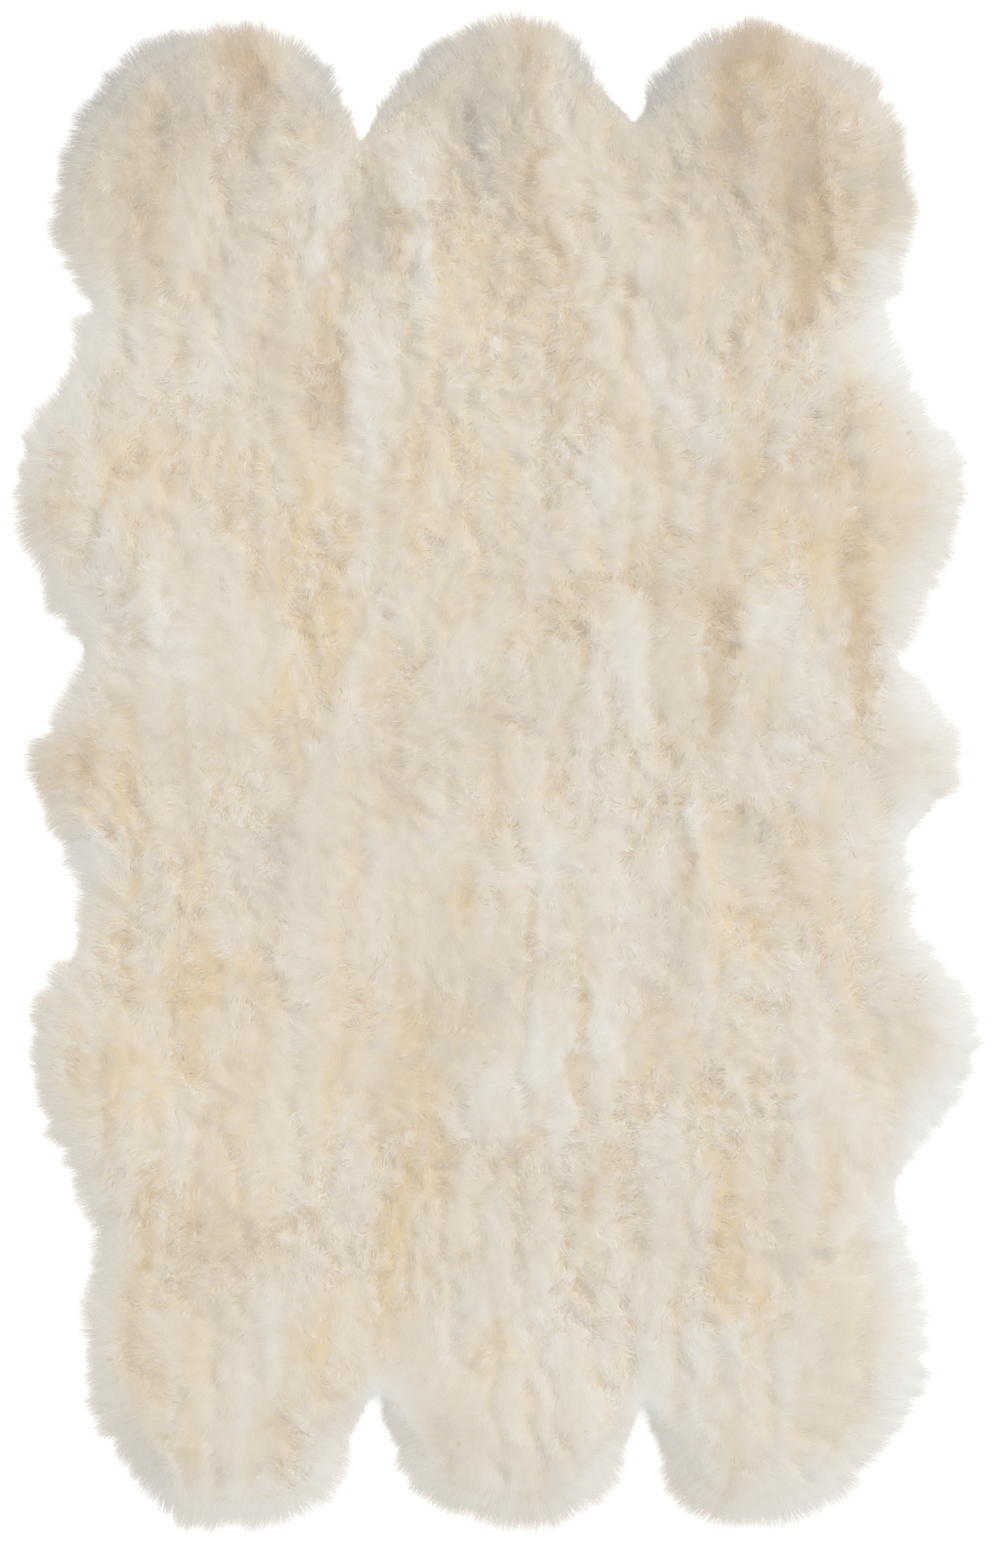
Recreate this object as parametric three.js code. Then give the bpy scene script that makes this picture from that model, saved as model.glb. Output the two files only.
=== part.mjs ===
// Six-pelt sheepskin rug, lying flat with the wool up.
// Six whole sheepskins are trimmed straight where they meet and sewn edge to edge, three across and
// two long, with their neck ends outward. Each pelt, hide and wool together, is one solid: a lumpy
// slab that thins towards its free edge, where it ends in loose pointed locks of wool.
// Millimetres, +Z up, +Y along the rug. The origin is on the floor under the middle of the rug.
import * as THREE from "three";

// Driving dimensions
const PILE_HEIGHT = 50; // hide and wool at the middle of a pelt
const RIM_HEIGHT = 23; // wool at a free edge, where the locks leave the slab
const SEAM_HEIGHT = 38; // wool at a seam, where two fleeces lean on each other
const SEAM_GAP = 0.3; // between the solids of two sewn pelts
const RIM_FALL = 62; // how far in from an edge the wool takes to reach its full height

// Locks round the free edges
const LOCK_REACH = 36; // how far the wool stands out past the slab
const LOCK_LENGTHS = { least: 0.86, most: 1.22 }; // as shares of the reach
const LOCK_LEAN = 10; // degrees either way along the edge
const LOCK_LEAN_WAVE = 290; // the lean drifts over this length of edge
const LOCK_MIDDLE = { along: 0.48, width: 0.54, height: 0.58 }; // its middle section, in shares of its root
const NOTCH_TAPER = 85; // locks shorten over this length towards a notch between two necks
const NOTCH_SHARE = 0.34; // to this share of their reach

// Cells of each pelt's grid
const CELLS_LONG = 38; // from the row seam to the neck
const CELLS_WIDE = 12;
const CURVE_STEPS = 16; // between two rows of an edge table

// Tufts raised in the wool's upper face. Each row is one size of tuft: its spacing across and along the
// rug, and how far it rises and sinks.
const TUFTS = [
  { across: 118, along: 205, height: 5 },
  { across: 58, along: 84, height: 6 },
];

// The seams. The two column seams run straight from a notch at one end of the rug to one at the other.
const ROW_SEAM_Y = 15;
const LEFT_SEAM = { top: { x: -169, y: 776 }, bottom: { x: -145, y: -748 } };
const RIGHT_SEAM = { top: { x: 164, y: 800 }, bottom: { x: 172, y: -766 } };

// The free edge of each pelt at the tips of its wool, from the left. A row is a place on the pelt. The two
// rows marked as corners part the sides of the pelt from its neck end.
const TOP_LEFT_EDGE = [
  { at: "rump", x: -577, y: 15 },
  { at: "rump, front", x: -563, y: 56 },
  { at: "hip", x: -529, y: 94 },
  { at: "waist", x: -513, y: 148 },
  { at: "girth", x: -562, y: 243 },
  { at: "foreleg", x: -593, y: 394 },
  { at: "behind the neck", x: -541, y: 480 },
  { at: "neck hollow", x: -500, y: 568 },
  { at: "cheek", x: -548, y: 677 },
  { at: "outer brow", x: -506, y: 810 },
  { at: "outer corner", x: -459, y: 868, corner: true },
  { at: "crown, outer", x: -405, y: 905 },
  { at: "crown", x: -342, y: 915 },
  { at: "crown, inner", x: -282, y: 912 },
  { at: "inner corner", x: -231, y: 881, corner: true },
  { at: "inner brow", x: -190, y: 830 },
  { at: "notch", ...LEFT_SEAM.top },
];
const TOP_CENTRE_EDGE = [
  { at: "left notch", ...LEFT_SEAM.top },
  { at: "left brow", x: -138, y: 831 },
  { at: "left corner", x: -97, y: 875, corner: true },
  { at: "crown, left", x: -40, y: 915 },
  { at: "crown, right", x: 78, y: 912 },
  { at: "right corner", x: 113, y: 872, corner: true },
  { at: "right brow", x: 147, y: 826 },
  { at: "right notch", ...RIGHT_SEAM.top },
];
const TOP_RIGHT_EDGE = [
  { at: "notch", ...RIGHT_SEAM.top },
  { at: "inner brow", x: 188, y: 846 },
  { at: "inner corner", x: 216, y: 880, corner: true },
  { at: "crown", x: 311, y: 916 },
  { at: "outer corner", x: 432, y: 866, corner: true },
  { at: "temple", x: 478, y: 818 },
  { at: "outer brow", x: 502, y: 754 },
  { at: "cheek", x: 503, y: 689 },
  { at: "neck hollow", x: 472, y: 545 },
  { at: "behind the neck", x: 514, y: 471 },
  { at: "foreleg", x: 569, y: 341 },
  { at: "girth", x: 529, y: 234 },
  { at: "waist", x: 494, y: 143 },
  { at: "hip", x: 538, y: 80 },
  { at: "rump", x: 567, y: 36 },
  { at: "row seam", x: 566, y: 15 },
];
const BOTTOM_LEFT_EDGE = [
  { at: "rump", x: -577, y: 15 },
  { at: "hip", x: -555, y: -50 },
  { at: "waist", x: -509, y: -135 },
  { at: "girth", x: -529, y: -216 },
  { at: "foreleg, front", x: -563, y: -266 },
  { at: "foreleg, back", x: -567, y: -390 },
  { at: "behind the neck", x: -523, y: -478 },
  { at: "neck hollow", x: -496, y: -545 },
  { at: "cheek", x: -506, y: -690 },
  { at: "outer brow", x: -495, y: -773 },
  { at: "outer corner", x: -433, y: -867, corner: true },
  { at: "crown, outer", x: -394, y: -906 },
  { at: "crown, inner", x: -264, y: -906 },
  { at: "inner corner", x: -209, y: -872, corner: true },
  { at: "inner brow", x: -166, y: -788 },
  { at: "notch", ...LEFT_SEAM.bottom },
];
const BOTTOM_CENTRE_EDGE = [
  { at: "left notch", ...LEFT_SEAM.bottom },
  { at: "left brow", x: -133, y: -822 },
  { at: "left corner", x: -100, y: -867, corner: true },
  { at: "crown, left", x: -20, y: -905 },
  { at: "crown, right", x: 92, y: -902 },
  { at: "right corner", x: 132, y: -857, corner: true },
  { at: "right brow", x: 161, y: -810 },
  { at: "right notch", ...RIGHT_SEAM.bottom },
];
const BOTTOM_RIGHT_EDGE = [
  { at: "notch", ...RIGHT_SEAM.bottom },
  { at: "inner brow", x: 195, y: -831 },
  { at: "inner corner", x: 218, y: -876, corner: true },
  { at: "crown, inner", x: 272, y: -911 },
  { at: "crown, outer", x: 374, y: -900 },
  { at: "outer corner", x: 414, y: -870, corner: true },
  { at: "outer brow", x: 504, y: -763 },
  { at: "cheek", x: 526, y: -694 },
  { at: "jaw", x: 508, y: -610 },
  { at: "neck hollow", x: 485, y: -531 },
  { at: "behind the neck", x: 532, y: -427 },
  { at: "foreleg", x: 589, y: -333 },
  { at: "girth", x: 541, y: -222 },
  { at: "waist, front", x: 507, y: -180 },
  { at: "waist", x: 505, y: -125 },
  { at: "waist, back", x: 509, y: -72 },
  { at: "rump", x: 555, y: -17 },
  { at: "row seam", x: 566, y: 15 },
];

// side is 1 where a pelt's neck points to +Y. leftSeam and rightSeam are the column seams it is sewn along.
const BOTH_SEAMS = { leftSeam: LEFT_SEAM, rightSeam: RIGHT_SEAM };
const PELTS = [
  { name: "pelt_top_left", side: 1, edge: TOP_LEFT_EDGE, rightSeam: LEFT_SEAM, tone: 0xe2d8c8 },
  { name: "pelt_top_centre", side: 1, edge: TOP_CENTRE_EDGE, ...BOTH_SEAMS, tone: 0xe0d7ca },
  { name: "pelt_top_right", side: 1, edge: TOP_RIGHT_EDGE, leftSeam: RIGHT_SEAM, tone: 0xdfd2bf },
  { name: "pelt_bottom_left", side: -1, edge: BOTTOM_LEFT_EDGE, rightSeam: LEFT_SEAM, tone: 0xe3d9c8 },
  { name: "pelt_bottom_centre", side: -1, edge: BOTTOM_CENTRE_EDGE, ...BOTH_SEAMS, tone: 0xe1d8ca },
  { name: "pelt_bottom_right", side: -1, edge: BOTTOM_RIGHT_EDGE, leftSeam: RIGHT_SEAM, tone: 0xe2d8c9 },
];

const { clamp, degToRad, lerp, mapLinear } = THREE.MathUtils;
const point = (x, y) => new THREE.Vector2(x, y);

function smooth(share) {
  const t = clamp(share, 0, 1);
  return t * t * (3 - 2 * t);
}

// A fixed scatter of numbers from 0 to 1, one for each place.
function scatter(x, y) {
  const wave = Math.sin(x * 12.9898 + y * 78.233) * 43758.5453;
  return wave - Math.floor(wave);
}

// How far the tufts rise or sink at a place: scattered heights with smooth slopes between them.
function tufts(x, y) {
  let height = 0;
  for (const tuft of TUFTS) {
    const [u, v] = [x / tuft.across, y / tuft.along];
    const [i, j] = [Math.floor(u), Math.floor(v)];
    const near = lerp(scatter(i, j), scatter(i + 1, j), smooth(u - i));
    const far = lerp(scatter(i, j + 1), scatter(i + 1, j + 1), smooth(u - i));
    height += tuft.height * (2 * lerp(near, far, smooth(v - j)) - 1);
  }
  return height;
}

// The free edge of the slab as a fine smooth line, set in from the wool's tips by the reach of its locks.
// Each point carries the way out of the pelt, and the reach, lean and height of the wool there.
function freeLine(pelt) {
  const rows = pelt.edge.map((row) => new THREE.Vector3(row.x, row.y, 0));
  const curve = new THREE.CatmullRomCurve3(rows, false, "centripetal");
  const steps = (rows.length - 1) * CURVE_STEPS;
  const tips = Array.from({ length: steps + 1 }, (_, i) => {
    const place = curve.getPoint(i / steps);
    return point(place.x, place.y);
  });
  const lengths = lengthsAlong(tips);
  const notches = [pelt.leftSeam ? 0 : Infinity, pelt.rightSeam ? lengths.at(-1) : Infinity];
  return tips.map((tip, i) => {
    const way = tips[Math.min(i + 1, steps)].clone().sub(tips[Math.max(i - 1, 0)]).normalize();
    const out = point(-way.y, way.x).multiplyScalar(pelt.side);
    const toNotch = Math.min(...notches.map((notch) => Math.abs(notch - lengths[i])));
    const full = smooth(toNotch / NOTCH_TAPER);
    const reach = LOCK_REACH * lerp(NOTCH_SHARE, 1, full);
    return {
      at: tip.clone().addScaledVector(out, -reach),
      height: lerp(SEAM_HEIGHT, RIM_HEIGHT, full),
      lean: LOCK_LEAN * full * Math.sin((2 * Math.PI * lengths[i]) / LOCK_LEAN_WAVE),
      out,
      reach,
    };
  });
}

// The straight run of a column seam from the row seam to its notch, kept half the gap from the seam itself.
function seamLine(pelt, seam, shift) {
  const notch = pelt.side > 0 ? seam.top : seam.bottom;
  return [rowSeamY(pelt), notch.y - pelt.side * LOCK_REACH * NOTCH_SHARE].map((y) => ({
    at: point(mapLinear(y, seam.bottom.y, seam.top.y, seam.bottom.x, seam.top.x) + shift, y),
    height: SEAM_HEIGHT,
  }));
}

function rowSeamY(pelt) {
  return ROW_SEAM_Y + (pelt.side * SEAM_GAP) / 2;
}

function lengthsAlong(places) {
  const lengths = [0];
  for (let i = 1; i < places.length; i++) lengths.push(lengths[i - 1] + places[i].distanceTo(places[i - 1]));
  return lengths;
}

// Points evenly spaced along a line. What they carry comes from the nearer of the line's own points.
function spaced(line, cells) {
  const lengths = lengthsAlong(line.map((p) => p.at));
  let k = 1;
  return Array.from({ length: cells + 1 }, (_, i) => {
    const wanted = (lengths.at(-1) * i) / cells;
    while (k < line.length - 1 && lengths[k] < wanted) k++;
    const [a, b] = [line[k - 1], line[k]];
    const t = (wanted - lengths[k - 1]) / (lengths[k] - lengths[k - 1]);
    const nearer = t < 0.5 ? a : b;
    return { ...nearer, at: a.at.clone().lerp(b.at, t), height: lerp(a.height, b.height, t) };
  });
}

// The row seam between a pelt's two sides. The wool is lower where the seam comes out at a free edge.
function rowLine(pelt, left, right) {
  const ends = [];
  if (!pelt.leftSeam) ends.push(left.at);
  if (!pelt.rightSeam) ends.push(right.at);
  return spaced([left, right], CELLS_WIDE).map(({ at }) => {
    const fromEnd = Math.min(...ends.map((end) => at.distanceTo(end)));
    return { at, height: lerp(RIM_HEIGHT, SEAM_HEIGHT, smooth(fromEnd / RIM_FALL)) };
  });
}

// The four edges of a pelt's grid: both sides from the row seam to the neck, the row seam and the neck end.
function edgesOf(pelt) {
  const free = freeLine(pelt);
  const [first, second] = pelt.edge.flatMap((row, i) => (row.corner ? [i * CURVE_STEPS] : []));
  const leftSide = free.slice(0, first + 1);
  const rightSide = free.slice(second).reverse();
  if (pelt.leftSeam) leftSide.unshift(...seamLine(pelt, pelt.leftSeam, SEAM_GAP / 2));
  if (pelt.rightSeam) rightSide.unshift(...seamLine(pelt, pelt.rightSeam, -SEAM_GAP / 2));
  const left = spaced(leftSide, CELLS_LONG);
  const right = spaced(rightSide, CELLS_LONG);
  for (const side of [left, right]) side[0].at.y = rowSeamY(pelt);
  return {
    left,
    right,
    row: rowLine(pelt, left[0], right[0]),
    neck: spaced(free.slice(first, second + 1), CELLS_WIDE),
  };
}

// A grid over the pelt, blended from its four edges, with the height of the wool at each point.
function gridOf({ left, right, row, neck }) {
  const grid = [];
  for (let j = 0; j <= CELLS_LONG; j++) {
    for (let i = 0; i <= CELLS_WIDE; i++) {
      const [u, v] = [i / CELLS_WIDE, j / CELLS_LONG];
      const place = point(0, 0)
        .addScaledVector(row[i].at, 1 - v)
        .addScaledVector(neck[i].at, v)
        .addScaledVector(left[j].at, 1 - u)
        .addScaledVector(right[j].at, u)
        .addScaledVector(row[0].at, -(1 - u) * (1 - v))
        .addScaledVector(row[CELLS_WIDE].at, -u * (1 - v))
        .addScaledVector(neck[0].at, -(1 - u) * v)
        .addScaledVector(neck[CELLS_WIDE].at, -u * v);
      const full = PILE_HEIGHT + tufts(place.x, place.y);
      const heights = [row[i], neck[i], left[j], right[j]].map((edge) =>
        lerp(edge.height, full, smooth(place.distanceTo(edge.at) / RIM_FALL)),
      );
      grid.push(new THREE.Vector3(place.x, place.y, Math.min(...heights)));
    }
  }
  return grid;
}

// The rim of the grid as one closed loop of cells: where each starts in the grid, and the edge points it
// lies between.
function loopOf({ left, right, row, neck }) {
  const loop = [];
  const cell = (i, j, edge, next) => loop.push({ index: j * (CELLS_WIDE + 1) + i, edge, next });
  for (let i = 0; i < CELLS_WIDE; i++) cell(i, 0, row[i], row[i + 1]);
  for (let j = 0; j < CELLS_LONG; j++) cell(CELLS_WIDE, j, right[j], right[j + 1]);
  for (let i = CELLS_WIDE; i > 0; i--) cell(i, CELLS_LONG, neck[i], neck[i - 1]);
  for (let j = CELLS_LONG; j > 0; j--) cell(0, j, left[j], left[j - 1]);
  return loop;
}

// Collects points and triangles. Turned solids have their triangles reversed, so that faces point out.
class Skin {
  constructor(turned) {
    this.points = [];
    this.triangles = [];
    this.turned = turned;
  }
  add(vector) {
    return this.points.push(vector) - 1;
  }
  triangle(a, b, c) {
    this.triangles.push(...(this.turned ? [a, c, b] : [a, b, c]));
  }
  quad(a, b, c, d) {
    this.triangle(a, b, c);
    this.triangle(a, c, d);
  }
  geometry() {
    const made = new THREE.BufferGeometry().setFromPoints(this.points);
    made.setIndex(this.triangles);
    made.computeVertexNormals();
    return made;
  }
}

// One pointed lock of four sides, growing from a cell of the slab's rim and lying level on the floor.
// foot and top are the two lower and the two upper corners of that cell.
function addLock(skin, foot, top, edge, next) {
  const [a, b] = foot.map((i) => skin.points[i]);
  const root = a.clone().lerp(b, 0.5);
  const share = lerp(LOCK_LENGTHS.least, LOCK_LENGTHS.most, scatter(root.x, root.y));
  const way = edge.out.clone().add(next.out).normalize().rotateAround(point(0, 0), degToRad(edge.lean));
  const run = new THREE.Vector3(way.x, way.y, 0).multiplyScalar(edge.reach * share);
  const middle = root.clone().addScaledVector(run, LOCK_MIDDLE.along);
  const half = b.clone().sub(a).multiplyScalar(LOCK_MIDDLE.width / 2);
  const lower = [middle.clone().sub(half), middle.clone().add(half)];
  const upper = lower.map((p, k) => p.clone().setZ(skin.points[top[k]].z * LOCK_MIDDLE.height));
  const tip = skin.add(root.clone().add(run));
  const rootRing = [foot[0], foot[1], top[1], top[0]];
  const middleRing = [lower[0], lower[1], upper[1], upper[0]].map((p) => skin.add(p));
  for (let k = 0; k < rootRing.length; k++) {
    const n = (k + 1) % rootRing.length;
    skin.quad(rootRing[k], rootRing[n], middleRing[n], middleRing[k]);
    skin.triangle(middleRing[k], middleRing[n], tip);
  }
}

// The flat underside within a loop of points on the floor.
function addUnderside(skin, feet) {
  const outline = feet.map((i) => point(skin.points[i].x, skin.points[i].y));
  const facesUp = !THREE.ShapeUtils.isClockWise(outline);
  const order = facesUp ? feet : [...feet].reverse();
  for (const [a, b, c] of THREE.ShapeUtils.triangulateShape(facesUp ? outline : outline.reverse(), [])) {
    if (facesUp) skin.triangle(order[a], order[c], order[b]);
    else skin.triangle(order[a], order[b], order[c]);
  }
}

function peltGeometry(pelt) {
  const edges = edgesOf(pelt);
  const skin = new Skin(pelt.side < 0);
  gridOf(edges).forEach((p) => skin.add(p));
  for (let j = 0; j < CELLS_LONG; j++) {
    for (let i = 0; i < CELLS_WIDE; i++) {
      const a = j * (CELLS_WIDE + 1) + i;
      const c = a + CELLS_WIDE + 1;
      skin.quad(a, a + 1, c + 1, c);
    }
  }
  const loop = loopOf(edges);
  const feet = loop.map((cell) => skin.add(skin.points[cell.index].clone().setZ(0)));
  loop.forEach(({ index, edge, next }, k) => {
    const n = (k + 1) % loop.length;
    if (edge.out && next.out) addLock(skin, [feet[k], feet[n]], [index, loop[n].index], edge, next);
    else skin.quad(feet[k], feet[n], loop[n].index, index);
  });
  addUnderside(skin, feet);
  return skin.geometry();
}

const rug = new THREE.Group();
rug.name = "sheepskin_rug";
for (const pelt of PELTS) {
  const wool = new THREE.MeshStandardMaterial({ color: pelt.tone, roughness: 0.95, metalness: 0 });
  const mesh = new THREE.Mesh(peltGeometry(pelt), wool);
  mesh.name = pelt.name;
  rug.add(mesh);
}

// The middle of the rug's box goes over the origin.
const middle = new THREE.Box3().setFromObject(rug).getCenter(new THREE.Vector3());
rug.position.set(-middle.x, -middle.y, 0);

export default rug;
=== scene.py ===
"""Looks of a rug of six sheepskins, sewn three across and two long, lying wool side up on a pale floor.

Lengths are in metres, in the frame's own axes: +X to the right and +Y up in the photograph, and +Z out of
the wool. The wool's heights, edges and directions start from the frame's solids, so it follows them.
"""
import math

import bpy
import numpy as np
from mathutils.bvhtree import BVHTree
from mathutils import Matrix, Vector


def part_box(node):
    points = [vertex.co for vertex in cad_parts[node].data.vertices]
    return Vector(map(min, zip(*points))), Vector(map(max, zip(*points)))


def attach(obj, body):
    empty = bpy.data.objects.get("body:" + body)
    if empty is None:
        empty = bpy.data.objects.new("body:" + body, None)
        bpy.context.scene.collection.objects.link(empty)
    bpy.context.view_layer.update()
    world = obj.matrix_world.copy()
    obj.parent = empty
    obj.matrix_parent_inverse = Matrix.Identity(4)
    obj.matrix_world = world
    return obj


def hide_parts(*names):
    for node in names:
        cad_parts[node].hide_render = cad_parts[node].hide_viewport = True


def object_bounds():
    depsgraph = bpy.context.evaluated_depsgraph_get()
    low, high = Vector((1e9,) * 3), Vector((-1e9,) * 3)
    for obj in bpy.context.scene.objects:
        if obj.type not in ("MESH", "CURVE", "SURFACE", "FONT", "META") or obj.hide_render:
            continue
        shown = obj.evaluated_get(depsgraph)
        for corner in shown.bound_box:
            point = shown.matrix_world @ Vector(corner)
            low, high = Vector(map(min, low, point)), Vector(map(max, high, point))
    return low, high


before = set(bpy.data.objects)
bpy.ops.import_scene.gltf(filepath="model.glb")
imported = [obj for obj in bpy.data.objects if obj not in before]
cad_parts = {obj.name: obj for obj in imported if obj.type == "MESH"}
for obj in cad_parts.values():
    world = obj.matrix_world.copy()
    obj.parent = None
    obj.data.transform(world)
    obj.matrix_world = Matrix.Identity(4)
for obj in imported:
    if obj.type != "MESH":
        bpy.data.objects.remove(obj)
cad_low, cad_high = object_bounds()

# Photograph: its size in pixels, the rug that one pixel covers and the place of its middle
PHOTO_WIDE = 1298
PHOTO_HIGH = 2048
PIXEL = 0.0009285
PHOTO_X = -0.0017
PHOTO_Y = -0.0100

# Maps: square cells that cover the rug and a margin round it
CELL = 0.003
MARGIN = 0.06
SEED = 41
OWNER_STEPS = 20  # cells that a pelt's number is carried past its edge

# Relief of the wool's top
PUFF_HIGH = 0.0067
FOLD_DEEP = 0.0015
PARTING_BACK = 0.014  # how far behind a parting's crest the wool levels out
PARTING_FOOT = 0.006  # how far ahead of its foot
BASE_SHADE = 0.45  # share of the solids' own slope that the shading keeps
BIG_TUFTS = {
    "pitch": 0.021,
    "long": (0.040, 0.062),
    "wide": (0.020, 0.034),
    "high": (0.0020, 0.0050),
    "tint": (0.05, 0.03, 0.06),
}
SMALL_TUFTS = {
    "pitch": 0.0092,
    "long": (0.015, 0.028),
    "wide": (0.008, 0.014),
    "high": (0.0016, 0.0042),
    "tint": (0.04, 0.03, 0.06),
}
UNDERCOAT_DEPTH = 0.0008
UNDERCOAT_PITCH = 0.0046

# Strands
WOOL_EDGE = 0.004  # how far inside the edge combed strands and undercoat start
STRAND_PITCH = 0.0035
STRAND_LONG = (0.009, 0.018)
STRAND_WIDE = (0.0009, 0.0015)
STRAND_LOW = 0.00075
STRAND_HIGH = 0.068
STRAY_SHARE = 0.08
ROOT_DEPTH = 0.0018
CURL_PITCH = 0.0072  # between rows of curls
CURLS_IN_ROW = 6
CURL_GAP = 0.0019  # between the curls of a row
CURL_LONG = (0.006, 0.013)
CURL_WIDE = (0.0009, 0.0020)
CURL_PAINTED_SHADE = (0.45, 0.55, 0.0)  # more gold, tan and pale than the wool round it: painted shade in the dark curls, painted highlight in the light ones
CURL_PAINTED_HIGHLIGHT = (0.0, -0.08, 0.65)
FRINGE = {"pitch": 0.0019, "deep": 0.034, "least_over": 0.15, "root_width": 0.0012, "far_width": 0.0005}
WISPS = {"pitch": 0.0012, "deep": 0.012, "least_over": 0.70, "root_width": 0.0007, "far_width": 0.00045}
FRINGE_OVER = 0.034  # how far the longest rim strands run out past the edge
FRINGE_LONG = (0.036, 0.064)  # the most that they measure
FRINGE_TINT = (-0.18, -0.05, 0.10)

# Hides
HIDE_INSET = 0.024
HIDE_BOTTOM = 0.0008
HIDE_THICK = 0.0016
HIDE_PITCH = 0.018
HIDE_SOFT = 0.008  # how far its outline is smoothed

# Colours
WOOL_CREAM = (0.745, 0.68, 0.585)
WOOL_GOLD = (0.81, 0.655, 0.41)
WOOL_PALE = (0.825, 0.815, 0.785)
WOOL_TAN = (0.56, 0.43, 0.29)
WOOL_GREY = (0.50, 0.485, 0.46)
WOOL_FLECK = (0.80, 0.75, 0.66)
# Multiplied in at the roots: the roots' own warmer tone and painted shade between the strands
WOOL_ROOT_TONE_AND_SHADE = (0.86, 0.74, 0.56)
HIDE_DARK = (0.68, 0.56, 0.42)
HIDE_LIGHT = (0.82, 0.74, 0.62)
HIDE_NAP = (0.76, 0.66, 0.52)
FLOOR_GREY = (0.92, 0.92, 0.92, 1.0)
WHITE = (1.0, 1.0, 1.0, 1.0)

# Floor and camera
FLOOR_HALF = 9.0
CAMERA_HIGH = 6.0
WOOL_MIDDLE = 0.03
SENSOR_WIDE = 36.0

PELTS = sorted(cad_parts)
rng = np.random.default_rng(SEED)

MAP_X = np.arange(cad_low.x - MARGIN, cad_high.x + MARGIN, CELL)
MAP_Y = np.arange(cad_low.y - MARGIN, cad_high.y + MARGIN, CELL)
MAP_SHAPE = (len(MAP_X), len(MAP_Y))

# Patches seen in the photograph. Columns: middle across and down, half width and half height in its
# pixels, lean to the right at the top in degrees, strength.
GOLD_PATCHES = (
    (220, 1300, 130, 110, 0, 0.3),
    (170, 1500, 90, 160, 0, 0.3),
    (360, 780, 100, 120, 0, 0.25),
    (1080, 720, 120, 130, 0, 0.25),
    (1120, 1170, 80, 90, 0, 0.3),
    (320, 602, 100, 20, 0, 0.6),
    (130, 630, 80, 50, 0, 0.7),
    (400, 690, 22, 62, 14, 0.9),
    (425, 805, 20, 62, 4, 1.1),
    (372, 905, 22, 52, 28, 0.9),
    (155, 862, 14, 52, 32, 0.7),
    (603, 260, 20, 110, -8, 0.6),
    (568, 445, 11, 45, 0, 0.9),
    (600, 590, 60, 22, 0, 0.6),
    (650, 645, 28, 48, 0, 0.5),
    (742, 785, 22, 24, 0, 0.8),
    (970, 612, 30, 24, 0, 0.6),
    (1050, 715, 60, 36, 0, 0.5),
    (1005, 1370, 30, 60, 0, 0.9),
    (182, 1635, 26, 40, 0, 0.6),
    (1195, 628, 50, 16, 0, 0.5),
    (115, 1070, 60, 60, 0, 1.25),
    (120, 1270, 60, 60, 0, 0.75),
    (140, 1190, 60, 40, 0, 0.35),
    (130, 905, 50, 50, 0, 0.35),
    (935, 1120, 18, 60, 0, 0.4),
    (1000, 1415, 36, 60, 0, 0.4),
    (363, 1324, 60, 40, 0, 0.35),
    (630, 1370, 36, 50, 0, 0.25),
    (1045, 820, 16, 70, 0, 0.5),
    (1040, 775, 50, 16, 0, 0.7),
    (252, 1115, 20, 42, 0, 0.5),
    (155, 1240, 38, 22, 0, 1.6),
    (262, 1278, 16, 62, 66, 1.0),
    (185, 1390, 65, 24, 0, 0.9),
    (232, 1785, 30, 58, -14, 0.45),
    (250, 1872, 34, 22, 0, 0.6),
    (422, 1740, 24, 50, 0, 0.7),
    (545, 1330, 55, 26, 0, 0.6),
    (535, 1400, 18, 55, 0, 0.9),
    (552, 1500, 26, 46, 0, 1.1),
    (520, 1590, 18, 46, 6, 1.1),
    (512, 1690, 14, 60, 0, 0.6),
    (648, 1755, 28, 26, 0, 0.6),
    (640, 1185, 45, 16, 0, 0.6),
    (965, 1216, 22, 30, 0, 1.0),
    (925, 1440, 20, 42, 0, 1.1),
    (938, 1570, 22, 50, 0, 0.4),
    (948, 1645, 16, 55, 0, 1.0),
    (928, 1690, 40, 30, 0, 0.6),
    (984, 1722, 11, 42, 0, 1.0),
)
BROWN_PATCHES = (
    (300, 120, 110, 90, 0, 0.25),
    (680, 110, 110, 80, 0, 0.35),
    (1050, 170, 100, 150, 0, 0.45),
    (320, 48, 40, 24, 0, 1.1),
    (325, 145, 24, 58, 4, 1.1),
    (195, 225, 26, 85, 6, 0.7),
    (412, 450, 20, 75, -8, 0.5),
    (425, 540, 30, 30, 0, 0.4),
    (250, 965, 42, 55, 0, 0.5),
    (340, 1300, 50, 26, 0, 0.45),
    (700, 470, 34, 70, 0, 0.3),
    (395, 750, 30, 60, 8, 0.25),
    (95, 1000, 34, 28, 0, 0.8),
    (665, 44, 60, 20, 0, 0.9),
    (680, 252, 18, 45, 0, 0.5),
    (705, 395, 18, 60, 6, 0.35),
    (730, 520, 18, 45, 22, 0.4),
    (995, 50, 40, 32, 0, 3.0),
    (947, 145, 15, 52, 0, 1.5),
    (1036, 265, 28, 78, 0, 0.85),
    (475, 290, 24, 70, 0, 0.4),
    (1140, 255, 34, 60, 0, 0.3),
    (1122, 545, 36, 36, 0, 0.25),
    (425, 805, 22, 60, 4, 0.2),
    (1052, 390, 26, 45, 0, 0.8),
    (1065, 622, 70, 12, 0, 0.45),
    (900, 768, 55, 28, 0, 0.45),
    (936, 840, 14, 58, 0, 0.75),
    (930, 930, 18, 50, 0, 0.7),
    (1116, 830, 15, 80, 0, 1.45),
    (250, 1605, 28, 45, 0, 0.45),
    (180, 1640, 14, 70, 4, 0.35),
    (380, 1875, 45, 50, 0, 0.6),
    (775, 1560, 16, 34, -10, 0.8),
    (885, 1095, 12, 60, -6, 0.55),
)
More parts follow.
